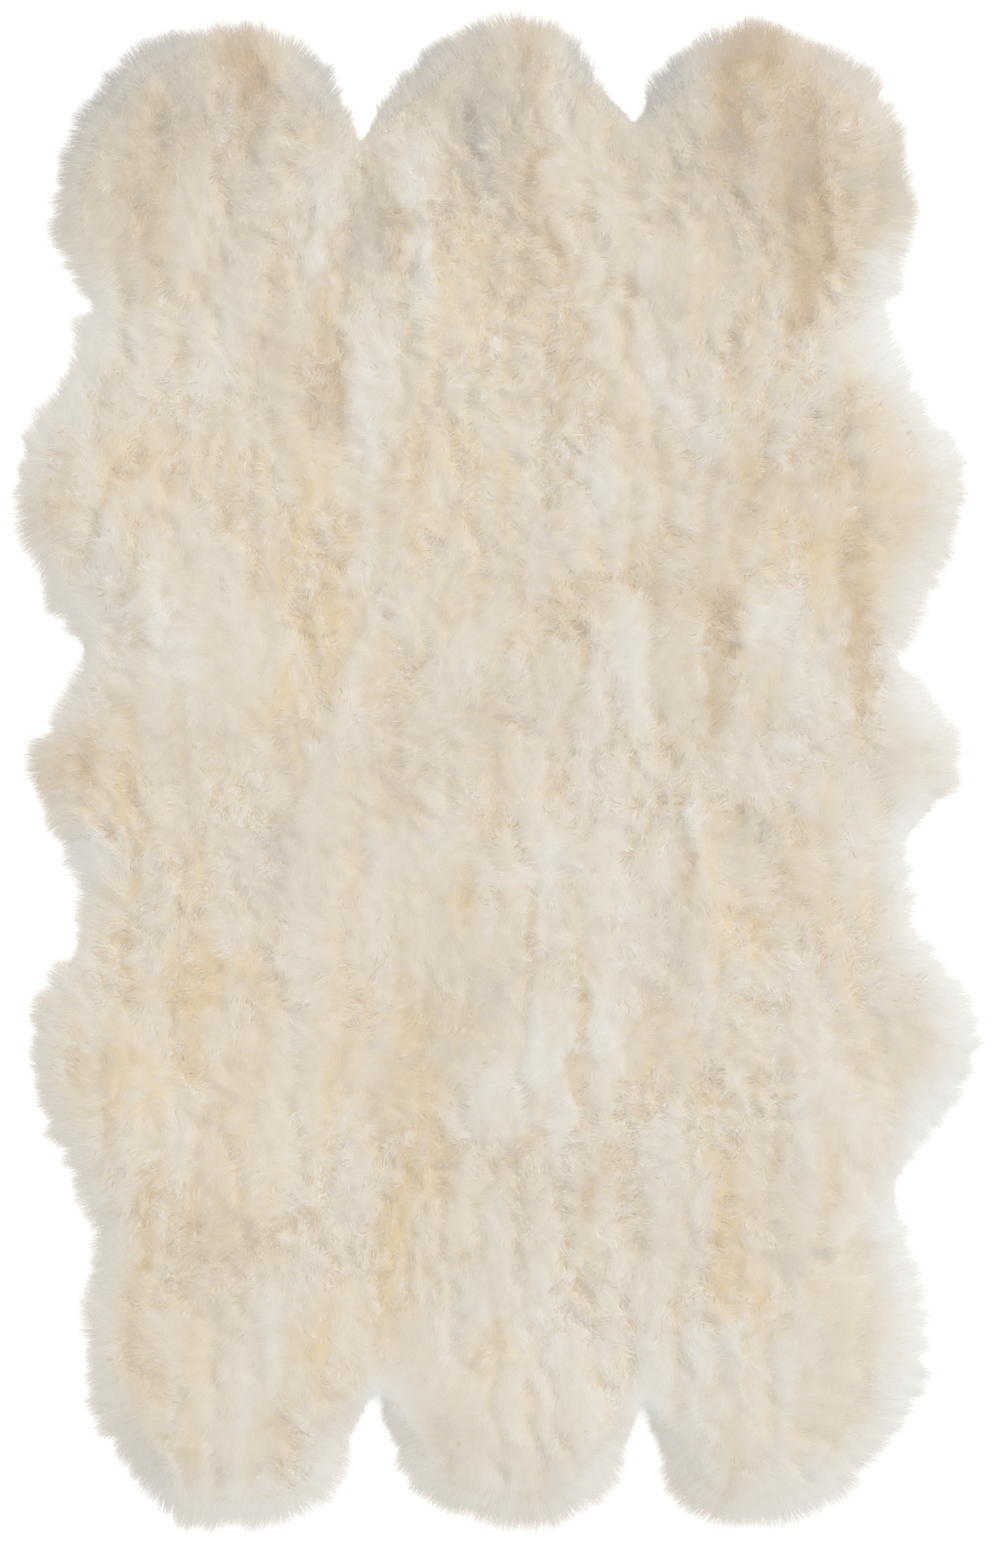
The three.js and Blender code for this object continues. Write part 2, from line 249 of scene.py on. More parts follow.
GREY_PATCHES = (
    # The first greys the top left lobe's left rim: painted shade on the side away from the light
    (115, 210, 56, 95, 12, 0.35),
    (1160, 705, 50, 22, 0, 0.6),
    (475, 290, 24, 70, 0, 1.3),
    (680, 110, 110, 90, 0, 0.7),
    (690, 95, 70, 40, 0, 0.3),
    (640, 180, 38, 60, 0, 0.7),
    (1145, 255, 30, 50, 0, 1.35),
    (900, 95, 24, 32, 0, 0.6),
    (1122, 545, 34, 36, 0, 1.1),
    (1180, 1005, 60, 36, 0, 0.6),
    (600, 1880, 46, 36, 0, 0.8),
    (670, 1962, 60, 16, 0, 0.8),
    (882, 1190, 12, 55, 0, 0.6),
    (1000, 1095, 9, 62, -52, 0.9),
    (1085, 1640, 10, 46, 80, 1.3),
    (1172, 1380, 44, 60, 0, 0.4),
    (1190, 1300, 22, 40, 0, 0.7),
    (1080, 1840, 55, 60, 0, 0.65),
    (920, 1950, 60, 22, 0, 0.9),
)
PALE_PATCHES = (
    (245, 310, 45, 40, 0, 0.35),
    (262, 460, 30, 60, 0, 0.7),
    (432, 330, 13, 75, -12, 0.9),
    (462, 510, 14, 60, 0, 0.8),
    (475, 700, 12, 70, -6, 0.7),
    (230, 830, 58, 45, 0, 0.7),
    (355, 835, 22, 45, 40, 0.5),
    (538, 265, 24, 115, -8, 1.4),
    (727, 160, 24, 42, 0, 0.9),
    (790, 135, 24, 45, 0, 0.6),
    (775, 335, 50, 42, 0, 0.5),
    (520, 470, 24, 55, 0, 0.5),
    (870, 390, 55, 55, 0, 0.6),
    (778, 640, 34, 38, 0, 0.9),
    (545, 770, 40, 60, 0, 0.6),
    (445, 935, 34, 80, 0, 0.6),
    (826, 875, 26, 80, 0, 0.9),
    (925, 295, 18, 60, 0, 0.6),
    (1140, 400, 30, 60, 0, 0.8),
    (872, 515, 45, 36, 0, 0.7),
    (865, 690, 36, 26, 0, 0.5),
    (1008, 812, 34, 46, 0, 0.9),
    (968, 1000, 36, 40, 0, 0.7),
    (150, 1125, 45, 30, 30, 0.5),
    (340, 1235, 60, 34, 0, 0.4),
    (375, 1775, 15, 72, -20, 1.0),
    (135, 1720, 22, 90, 0, 0.6),
    (620, 1425, 26, 48, 0, 0.5),
    (712, 1420, 26, 62, 0, 1.7),
    (800, 1455, 28, 48, 0, 0.6),
    (800, 1190, 24, 62, -28, 0.7),
    (760, 1110, 40, 34, 0, 0.5),
    (625, 1105, 50, 60, 0, 0.8),
    (765, 1430, 50, 70, 0, 0.35),
    (560, 850, 40, 60, 0, 0.4),
    (560, 710, 50, 60, 0, 0.4),
    (779, 1350, 36, 60, 0, 0.4),
    (1040, 1100, 40, 70, 0, 0.4),
    (700, 1820, 90, 50, 0, 0.45),
    (990, 1830, 60, 60, 0, 0.5),
    (156, 1480, 40, 60, 0, 0.4),
    (916, 1115, 12, 80, -8, 0.7),
    (970, 1450, 24, 50, 0, 0.6),
    (1118, 1440, 24, 60, 6, 0.7),
    (930, 1740, 26, 30, 0, 0.6),
    (850, 1755, 22, 48, 0, 0.6),
    (1150, 1600, 30, 70, 0, 0.55),
    (1150, 1120, 34, 70, 0, 0.7),
    (755, 1610, 55, 90, 0, 0.35),
)

# Kinds of patch: how far the wool turns gold, tan and pale there (grey is less than no pale), and how far
# it rises
PATCH_KINDS = (
    (GOLD_PATCHES, (0.62, 0.06, 0.0, -0.0020)),
    (BROWN_PATCHES, (0.38, 0.52, 0.0, -0.0028)),
    (GREY_PATCHES, (-0.12, 0.0, -0.45, -0.0008)),
    (PALE_PATCHES, (0.0, 0.0, 0.45, 0.0026)),
)

# Long partings seen in the photograph, where the wool of one side lies over the other. Columns: middle
# across and down and half length in its pixels, lean to the right at the top in degrees, and the step down
# to the right in millimetres, less than 0 where it goes down to the left.
PARTINGS = (
    (582, 140, 70, 10, 6.5),
    (590, 205, 45, -28, 6.5),
    (567, 320, 120, -2, 5.5),
    (443, 500, 90, 0, -5.5),
    (428, 340, 75, -12, 4.0),
    (505, 330, 70, -14, -4.5),
    (745, 625, 75, 60, 4.0),
    (735, 505, 60, 10, 4.5),
    (945, 115, 70, 0, 5.5),
    (1030, 230, 100, 2, 4.0),
    (415, 765, 60, 6, 4.0),
    (916, 880, 120, 0, 5.0),
    (952, 860, 90, 0, -5.0),
    (1104, 830, 75, 4, 4.5),
    (902, 1110, 100, 0, -5.5),
    (1000, 1092, 80, -54, 4.5),
    (1015, 1285, 50, -6, 4.5),
    (220, 1190, 45, -10, 4.0),
    (750, 1440, 125, -8, 6.0),
    (556, 1405, 95, 27, 5.0),
    (568, 1505, 50, 4, 4.5),
    (560, 1680, 50, -20, 4.5),
    (186, 1570, 80, 10, 4.0),
    (972, 1775, 100, 4, 6.0),
    (970, 1640, 60, 0, -4.5),
    (927, 1875, 45, -10, 4.0),
    (780, 1560, 60, -12, 4.0),
)


def photo_place(across, down):
    """The rug's x and y at a pixel of the photograph."""
    return PHOTO_X + (across - PHOTO_WIDE / 2) * PIXEL, PHOTO_Y + (PHOTO_HIGH / 2 - down) * PIXEL


def ease(t):
    """0 to 1 with no slope at either end."""
    t = np.clip(t, 0.0, 1.0)
    return t * t * (3.0 - 2.0 * t)


def blur(field, along_x, along_y=None):
    """Gaussian blur of a map or mask, its widths in metres."""
    for axis, width in ((0, along_x), (1, along_y or along_x)):
        reach = int(math.ceil(3.0 * width / CELL))
        weights = np.exp(-0.5 * (np.arange(-reach, reach + 1) * CELL / width) ** 2)
        weights /= weights.sum()
        padding = [(0, 0), (0, 0)]
        padding[axis] = (reach, reach)
        padded = np.pad(field, padding, mode="edge")
        size = field.shape[axis]
        field = sum(w * padded.take(range(k, k + size), axis) for k, w in enumerate(weights))
    return field


def noise(along_x, along_y=None):
    """A map of soft random hills with a mean of 0 and a spread of 1."""
    field = blur(rng.standard_normal(MAP_SHAPE), along_x, along_y)
    return (field - field.mean()) / field.std()


def slope(field):
    """How steeply a map rises along x and along y."""
    return np.gradient(field, CELL)


def sample(field, x, y):
    """A map's values at places between its points."""
    u = np.clip((x - MAP_X[0]) / CELL, 0, MAP_SHAPE[0] - 1.001)
    v = np.clip((y - MAP_Y[0]) / CELL, 0, MAP_SHAPE[1] - 1.001)
    i = u.astype(int)
    j = v.astype(int)
    du = u - i
    dv = v - j
    near = field[i, j] * (1 - du) + field[i + 1, j] * du
    far = field[i, j + 1] * (1 - du) + field[i + 1, j + 1] * du
    return near * (1 - dv) + far * dv


def nearest_cell(field, x, y):
    """A map's value at the point nearest to each place."""
    i = np.clip(np.rint((x - MAP_X[0]) / CELL).astype(int), 0, MAP_SHAPE[0] - 1)
    j = np.clip(np.rint((y - MAP_Y[0]) / CELL).astype(int), 0, MAP_SHAPE[1] - 1)
    return field[i, j]


def unit(vectors):
    """Vectors in rows, brought to length 1."""
    return vectors / np.maximum(np.linalg.norm(vectors, axis=-1, keepdims=True), 1e-9)


def cast_solids():
    """Maps of the solids' top height and of the pelt's number, which is -1 off the rug."""
    top = np.zeros(MAP_SHAPE)
    owner = np.full(MAP_SHAPE, -1)
    for number, name in enumerate(PELTS):
        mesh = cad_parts[name].data
        corners = [v.co for v in mesh.vertices]
        tree = BVHTree.FromPolygons(corners, [tuple(p.vertices) for p in mesh.polygons])
        low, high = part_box(name)
        columns = np.flatnonzero((MAP_X > low.x) & (MAP_X < high.x))
        rows = np.flatnonzero((MAP_Y > low.y) & (MAP_Y < high.y))
        for i in columns:
            for j in rows:
                place = tree.ray_cast((MAP_X[i], MAP_Y[j], 1.0), (0.0, 0.0, -1.0))[0]
                if place is not None and place.z > top[i, j]:
                    top[i, j] = place.z
                    owner[i, j] = number
    return top, owner


def spread_owner(owner, steps):
    """Carries each pelt's number outwards, over the gaps between locks and past the rim."""
    owner = owner.copy()
    for _ in range(steps):
        for axis in (0, 1):
            for step in (-1, 1):
                moved = np.roll(owner, step, axis)
                owner = np.where(owner < 0, moved, owner)
    return owner


def distance_inside(mask):
    """Distance from each point of a mask to the nearest point outside it."""
    columns, rows = mask.shape
    upward = np.zeros(mask.shape)
    downward = np.zeros(mask.shape)
    for j in range(1, rows):
        upward[:, j] = np.where(mask[:, j], upward[:, j - 1] + 1, 0)
    for j in range(rows - 2, -1, -1):
        downward[:, j] = np.where(mask[:, j], downward[:, j + 1] + 1, 0)
    along = np.minimum(upward, downward) ** 2
    nearest = along.copy()
    for other in range(columns):
        across = (np.arange(columns) - other) ** 2
        nearest = np.minimum(nearest, across[:, None] + along[other][None, :])
    return np.sqrt(nearest) * CELL


class Tufts:
    """Scattered points, one in each square of a grid, and the nearest one to any place."""

    def __init__(self, pitch):
        self.pitch = pitch
        self.columns = int(math.ceil((MAP_X[-1] - MAP_X[0]) / pitch))
        self.rows = int(math.ceil((MAP_Y[-1] - MAP_Y[0]) / pitch))
        i, j = np.meshgrid(np.arange(self.columns), np.arange(self.rows), indexing="ij")
        self.x = (MAP_X[0] + (i + rng.uniform(0.05, 0.95, i.shape)) * pitch).ravel()
        self.y = (MAP_Y[0] + (j + rng.uniform(0.05, 0.95, j.shape)) * pitch).ravel()
        self.count = self.columns * self.rows

    def nearest(self, x, y):
        """The number of the point nearest to each place."""
        column = ((x - MAP_X[0]) / self.pitch).astype(int)
        row = ((y - MAP_Y[0]) / self.pitch).astype(int)
        chosen = np.zeros(len(x), int)
        least = np.full(len(x), np.inf)
        for di in (-1, 0, 1):
            for dj in (-1, 0, 1):
                i = np.clip(column + di, 0, self.columns - 1)
                j = np.clip(row + dj, 0, self.rows - 1)
                number = i * self.rows + j
                gap = np.hypot(x - self.x[number], y - self.y[number])
                closer = gap < least
                least = np.where(closer, gap, least)
                chosen = np.where(closer, number, chosen)
        return chosen


# Maps that the wool follows
top_height, owner_map = cast_solids()
on_rug = owner_map >= 0
rug_share = blur(on_rug, 0.009)
in_seam = ~on_rug & (rug_share > 0.75)
beside = blur(top_height * on_rug, 0.006) / np.maximum(blur(on_rug, 0.006), 0.01)
top_height = np.where(in_seam, beside, top_height)
on_rug = on_rug | in_seam
edge_gap = distance_inside(rug_share > 0.5)
outside_gap = distance_inside(rug_share <= 0.5)
owner_map = spread_owner(owner_map, OWNER_STEPS)

out_x, out_y = slope(-blur(on_rug, 0.028) - 0.6 * blur(on_rug, 0.09))
out_size = np.maximum(np.hypot(out_x, out_y), 1e-6)
out_x = out_x / out_size
out_y = out_y / out_size
rim_pull = np.exp(-edge_gap / 0.05)

swirl_x = noise(0.026) + 0.9 * noise(0.07)
swirl_y = noise(0.026) + 0.9 * noise(0.07)
flow_x = out_x * (2.8 * rim_pull + 0.3) + 0.60 * swirl_x
flow_y = out_y * (2.8 * rim_pull + 0.3) + 0.85 * swirl_y

map_x, map_y = np.meshgrid(MAP_X, MAP_Y, indexing="ij")
bent_x = map_x + 0.006 * noise(0.014) + 0.003 * noise(0.005)
bent_y = map_y + 0.009 * noise(0.014) + 0.005 * noise(0.005)


def leaning_places(across, down, lean):
    """How far the rug's places are across and along a line that leans through a pixel of the photograph."""
    middle_x, middle_y = photo_place(across, down)
    turn = math.radians(lean)
    u = (bent_x - middle_x) * math.cos(turn) - (bent_y - middle_y) * math.sin(turn)
    v = (bent_x - middle_x) * math.sin(turn) + (bent_y - middle_y) * math.cos(turn)
    return u, v


def patch_maps():
    """Maps of how far the patches turn the wool gold, tan and pale, and of how far they raise it."""
    maps = np.zeros((4, *MAP_SHAPE))
    for patches, amounts in PATCH_KINDS:
        for across, down, wide, high, lean, strength in patches:
            u, v = leaning_places(across, down, lean)
            away = (u / (wide * PIXEL)) ** 2 + (v / (high * PIXEL)) ** 2
            share = strength * np.exp(-0.6 * away)
            for tint, amount in zip(maps, amounts):
                tint += amount * share
    return maps


def parting_maps():
    """Maps of how far the partings raise the wool and of the crests and feet of their steps."""
    rise = np.zeros(MAP_SHAPE)
    crest = np.zeros(MAP_SHAPE)
    foot = np.zeros(MAP_SHAPE)
    for across, down, half_long, lean, step in PARTINGS:
        u, v = leaning_places(across, down, lean)
        u = u * math.copysign(1.0, step)
        share = ease(1.5 * (1.0 - np.abs(v) / (half_long * PIXEL)))
        behind = share * np.exp(np.minimum(u, 0.0) / PARTING_BACK) * (u < 0.0)
        ahead = share * np.exp(-np.maximum(u, 0.0) / PARTING_FOOT) * (u >= 0.0)
        rise += 0.001 * abs(step) * (0.6 * behind - 0.4 * ahead)
        crest = np.maximum(crest, behind)
        foot = np.maximum(foot, ahead)
    return rise, crest, foot


# Puffs, folds and tousled places
indoors = ease(edge_gap / 0.045)
hills = np.abs(sample(noise(0.016, 0.042), bent_x, bent_y))
big_puffs = 1.0 - np.exp(-1.6 * hills)
fold_side = np.exp(-(hills / 0.45) ** 2)
fold = np.exp(-(hills / 0.16) ** 2) * np.clip(0.45 + 0.5 * noise(0.035), 0.0, 1.0)
patch_gold, patch_tan, patch_pale, patch_rise = patch_maps()
parting_rise, parting_crest, parting_foot = parting_maps()
soft_side = ease((map_x - 0.28) / 0.22) * (1.0 - 0.7 * ease((map_y - 0.45) / 0.2))
busy = np.exp(-(map_x / 0.24) ** 2) * ease((map_y + 0.25) / 0.3)
tousled = 0.42 + 0.16 * busy + 0.22 * noise(0.045) + 0.7 * (patch_gold + patch_tan)
tousled = tousled - 0.5 * patch_pale - 0.25 * soft_side
tousled = ease(1.3 * tousled - 0.10 - 0.3 * ease((-0.60 - map_y) / 0.2))
curly = np.clip(1.3 * tousled - 0.30 + 0.40 * noise(0.020), 0.0, 1.0) * (0.2 + 0.8 * fold_side) * indoors


class Staples(Tufts):
    """Tufts of wool that lie over each other like feathers, each with a way it points and a size."""

    def __init__(self, pitch, long, wide, high, tint, under=None):
        super().__init__(pitch)
        inner = sample(indoors, self.x, self.y)
        mess = inner * (0.2 + 0.9 * sample(tousled, self.x, self.y))
        mess = mess * (0.5 + 0.5 * sample(fold_side, self.x, self.y))
        if under is None:
            ways_x = sample(flow_x, self.x, self.y)
            ways_y = sample(flow_y, self.x, self.y)
            turn = np.arctan2(ways_y, ways_x)
            loose = 0.10 + 0.45 * mess + 0.7 * np.exp(-np.hypot(ways_x, ways_y) / 0.45) * inner
        else:
            turn = under.turn[nearest_cell(under.on_top, self.x, self.y)]
            loose = 0.12 + 0.35 * mess
        self.turn = turn + rng.normal(0.0, 1.0, self.count) * loose
        self.long = rng.uniform(*long, self.count)
        self.wide = rng.uniform(*wide, self.count)
        self.high = rng.uniform(*high, self.count) * (0.28 + 1.05 * mess)
        self.tint = rng.normal(0.0, 1.0, (self.count, 3)) * tint * (0.5 + mess)[:, None]
        self.gather = rng.uniform(0.15, 0.5, self.count)
        self.tip_x = self.x + np.cos(self.turn) * 0.5 * self.long
        self.tip_y = self.y + np.sin(self.turn) * 0.5 * self.long
        self.lay()

    def lay(self):
        """Maps of the relief, of the staple on top and of how near its tip it is there."""
        self.relief = np.zeros(MAP_SHAPE)
        self.on_top = self.nearest(map_x.ravel(), map_y.ravel()).reshape(MAP_SHAPE)
        self.nearness = np.full(MAP_SHAPE, 0.5)
        for k in range(self.count):
            reach = 0.5 * self.long[k]
            i = slice(*np.searchsorted(MAP_X, (self.x[k] - reach, self.x[k] + reach)))
            j = slice(*np.searchsorted(MAP_Y, (self.y[k] - reach, self.y[k] + reach)))
            off_x = map_x[i, j] - self.x[k]
            off_y = map_y[i, j] - self.y[k]
            cos, sin = math.cos(self.turn[k]), math.sin(self.turn[k])
            u = (off_x * cos + off_y * sin) / self.long[k]
            v = (off_y * cos - off_x * sin) / self.wide[k]
            along = ease((u + 0.5) / 0.65) * (1.0 - ease((u - 0.30) / 0.20))
            narrow = 1.0 - 0.55 * ease(u / 0.5)
            across = np.clip(1.0 - (2.0 * v / narrow) ** 2, 0.0, 1.0) ** 0.7
            bump = self.high[k] * along * across
            above = bump > self.relief[i, j]
            self.relief[i, j] = np.where(above, bump, self.relief[i, j])
            self.on_top[i, j] = np.where(above, k, self.on_top[i, j])
            self.nearness[i, j] = np.where(above, np.clip(u + 0.5, 0.0, 1.0), self.nearness[i, j])


big = Staples(**BIG_TUFTS)
small = Staples(**SMALL_TUFTS, under=big)

# Heights and slopes of the wool's top
upper_part = ease((map_y - 0.30) / 0.30)
lively = 0.88 + upper_part * (0.24 - 0.10 * ease((map_x - 0.10) / 0.20)) + 0.10 * busy
puffy = 1.0 - 0.32 * np.exp(-((map_y + 0.20) / 0.28) ** 2) * (1.0 - ease((map_x - 0.15) / 0.20))
relief = PUFF_HIGH * puffy * (big_puffs - 1.0) - FOLD_DEEP * fold + patch_rise
relief = lively * (indoors * relief + big.relief + small.relief) + indoors * parting_rise
solid_height = blur(top_height * on_rug, 0.005)
level_height = blur(solid_height, 0.022)
base_height = solid_height + (level_height - solid_height) * ease(edge_gap / 0.07)
round_share = blur(on_rug, 0.030)
crest_height = blur(top_height * on_rug, 0.030) / np.maximum(round_share, 0.2)
nook = ease((round_share - 0.60) / 0.18) * np.exp(-edge_gap / 0.030)
base_height = base_height + 0.7 * nook * (crest_height - base_height) * ease(rug_share / 0.5)
wool_height = blur(base_height + relief, 0.0025)
calm_rim = 0.35 + 0.65 * ease(edge_gap / 0.05)
relief_x, relief_y = slope(blur(relief, 0.0030))
base_x, base_y = slope(blur(base_height, 0.004))
height_x = calm_rim * relief_x + BASE_SHADE * base_x
height_y = calm_rim * relief_y + BASE_SHADE * base_y
crease = np.clip((blur(relief, 0.006) - blur(relief, 0.002)) / 0.0008, 0.0, 1.0)


def tint_maps():
    """Maps of how far the wool turns gold, tan and pale."""
    near_tip = 0.6 * blur(big.nearness, 0.003) + 0.4 * small.nearness - 0.5
    # Hollows between the puffs turn gold and tan: the deeper wool's own tone and painted shade
    hollow = puffy * (0.6 - big_puffs)
    streaks = noise(0.008, 0.035)
    gold = 0.13 + 0.11 * noise(0.030, 0.055) + 0.06 * streaks + 0.20 * hollow - 0.14 * near_tip
    tan = 0.04 + 0.03 * noise(0.030, 0.055) + 0.02 * streaks + 0.10 * hollow - 0.06 * near_tip
    pale = 0.11 + 0.14 * noise(0.026, 0.050) - 0.05 * streaks + 0.10 * near_tip
    # Painted shade: creases, folds and the feet of the partings' steps turn tan and gold. The crests behind
    # the steps turn pale, partly their own paler wool and partly painted highlight.
    deep = 0.6 * crease * (0.15 + 0.85 * curly) + 0.5 * fold + 0.9 * indoors * parting_foot
    gold = gold + 0.10 * deep
    tan = tan + 0.26 * deep
    pale = pale - 0.10 * deep + 0.25 * indoors * parting_crest
    at_rim = np.exp(-edge_gap / 0.012)
    near_rim = np.exp(-edge_gap / 0.021)
    wide_rim = np.exp(-edge_gap / 0.045)
    right = ease((map_x - 0.30) / 0.20)
    low = ease((-0.55 - map_y) / 0.30)
    high = ease((map_y - 0.50) / 0.35)
    gold = gold * (1.0 - 0.9 * near_rim) * (1.0 - 0.2 * high - 0.5 * high * wide_rim)
    tan = tan * (1.0 - 0.5 * near_rim) + 0.05 * high * (1.0 - near_rim)
    gold = gold + patch_gold * (1.0 + 0.25 * streaks) * (1.0 - 0.8 * at_rim)
    tan = tan + patch_tan * (1.0 + 0.25 * streaks) * (1.0 - 0.6 * at_rim)
    bare = 1.0 - np.clip(patch_gold + patch_tan, 0.0, 0.7)
    # The right-hand rim's extra pale is painted light from the side of the key light
    pale = pale + bare * near_rim * (0.30 + 0.40 * right - 1.35 * high)
    pale = pale + bare * wide_rim * (0.24 * right + 0.06 * low * (1.0 - right))
    # Wool in the notches' nooks turns paler: painted light against the shade that falls there
    pale = pale + patch_pale + 0.6 * nook - 0.19 * high
    return gold, tan, pale


gold_map, tan_map, pale_map = tint_maps()

# How far the rim's strands run out and turn aside
wide_share = blur(on_rug, 0.06)
rim_over = FRINGE_OVER + 0.005 * noise(0.011) + 0.003 * noise(0.006) + 0.004 * out_y ** 2
rim_over = rim_over + 0.036 * (out_x * out_y) ** 2 * ease((-0.55 - map_y) / 0.30)
rim_sway = 0.28 * noise(0.022) + 0.06 * noise(0.008)


def tints_at(x, y):
    """Gold, tan and pale shares at places, in columns."""
    return np.stack([sample(gold_map, x, y), sample(tan_map, x, y), sample(pale_map, x, y)], 1)


def tuft_tints(x, y):
    """How far the tufts at places differ from the wool round them in gold, tan and pale, in columns."""
    return big.tint[nearest_cell(big.on_top, x, y)] + small.tint[nearest_cell(small.on_top, x, y)]


def surface_normal(x, y):
    """Unit normals of the wool's lumpy top."""
    rise = np.stack([-sample(height_x, x, y), -sample(height_y, x, y), np.ones(len(x))], 1)
    return unit(rise)


def mesh_from_faces(name, corners, loops, starts):
    """A mesh from arrays: corner places, the corners of the faces in a row and where each face starts."""
    mesh = bpy.data.meshes.new(name)
    mesh.vertices.add(len(corners))
    mesh.vertices.foreach_set("co", corners.astype(np.float32).ravel())
    mesh.loops.add(len(loops))
    mesh.loops.foreach_set("vertex_index", loops.astype(np.int32))
    mesh.polygons.add(len(starts))
    mesh.polygons.foreach_set("loop_start", starts.astype(np.int32))
    mesh.update(calc_edges=True)
    return mesh


def add_piece(name, mesh, material):
    """An object of that mesh that moves with the rug's one body."""
    mesh.materials.append(material)
    piece = bpy.data.objects.new(name, mesh)
    bpy.context.scene.collection.objects.link(piece)
    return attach(piece, "root")


def set_coat(mesh, tints, tip_share):
    """Stores the wool's tint and how near to the tip each corner is."""
    coat = mesh.attributes.new("coat", "FLOAT_COLOR", "POINT")
    values = np.concatenate([tints, tip_share[:, None]], 1)
    coat.data.foreach_set("color", values.astype(np.float32).ravel())


# Strands of wool, as tapered ribbons that gather into tufts

def scatter(pitch, kept):
    """Places one in each square of a grid, where kept says so."""
    x = np.arange(cad_low.x, cad_high.x, pitch)
    y = np.arange(cad_low.y, cad_high.y, pitch)
    x, y = (a.ravel() for a in np.meshgrid(x, y, indexing="ij"))
    x = x + rng.uniform(-0.5, 0.5, len(x)) * pitch
    y = y + rng.uniform(-0.5, 0.5, len(y)) * pitch
    chosen = kept(x, y)
    return x[chosen], y[chosen]


def grow_fleece():
    """Strands that lie over the rug's top, combed along its flow and gathered into tufts."""
    x, y = scatter(STRAND_PITCH, lambda x, y: sample(edge_gap, x, y) > WOOL_EDGE)
    count = len(x)
    own = nearest_cell(small.on_top, x, y)
    tints = 0.45 * tints_at(x, y) + 0.55 * tints_at(small.x[own], small.y[own]) + tuft_tints(x, y)
    rough = (0.25 + 1.1 * sample(tousled, x, y)) * (0.8 + 0.8 * sample(fold_side, x, y))
    tints = tints + rng.normal(0.0, 1.0, (count, 3)) * rough[:, None] * (0.04, 0.03, 0.05)
    stray = rng.random(count) < STRAY_SHARE
    heading = small.turn[own] + rng.normal(0.0, 0.14, count) + stray * rng.normal(0.0, 0.6, count)
    way_x = np.cos(heading)
    way_y = np.sin(heading)
    reach = rng.uniform(*STRAND_LONG, count) * (1.0 + 0.9 * np.exp(-sample(edge_gap, x, y) / 0.05))
    pull = np.where(stray, 0.1, small.gather[own])
    free_x = x + way_x * reach * 0.5
    free_y = y + way_y * reach * 0.5
    x = x - way_x * reach * 0.5
    y = y - way_y * reach * 0.5
    turn = small.turn[own]
    ahead = (free_x - small.x[own]) * np.cos(turn) + (free_y - small.y[own]) * np.sin(turn)
    pull = pull * ease(ahead / (0.5 * small.long[own]))
    tip_x = free_x + (small.tip_x[own] - free_x) * pull * 0.6
    tip_y = free_y + (small.tip_y[own] - free_y) * pull * 0.6

    edge = sample(edge_gap, x, y)
    root_top = sample(wool_height, x, y)
    rise = rng.uniform(-0.0006, 0.0008, count) + stray * rng.uniform(0.0, 0.003, count)
    tip_z = np.maximum(sample(wool_height, tip_x, tip_y) + rise, rng.uniform(0.003, 0.010, count))
    bow = rng.normal(0.0, 0.0018, count)
    bend_x = x + (tip_x - x) * 0.40 - way_y * bow
    bend_y = y + (tip_y - y) * 0.40 + way_x * bow
    middle_top = sample(wool_height, bend_x, bend_y)
    width = rng.uniform(*STRAND_WIDE, count) * np.where(stray, 0.55, 1.0)
    width = width * (1.0 - 0.4 * np.exp(-edge / 0.02))
    return {
        "root": np.stack([x, y, np.maximum(root_top - ROOT_DEPTH, 0.003)], 1),
        "bend": np.stack([bend_x, bend_y, np.maximum(middle_top + 0.0008 + rise, 0.004)], 1),
        "tip": np.stack([tip_x, tip_y, tip_z], 1),
        "width": width,
        "tints": tints,
        "normal": surface_normal(x, y),
        "owner": nearest_cell(owner_map, x, y),
        "twist": rng.uniform(-0.35, 0.35, count),
        "swell": 0.4,
        "root_tone_and_shade": 1.0,
        "round": 0.12,
    }


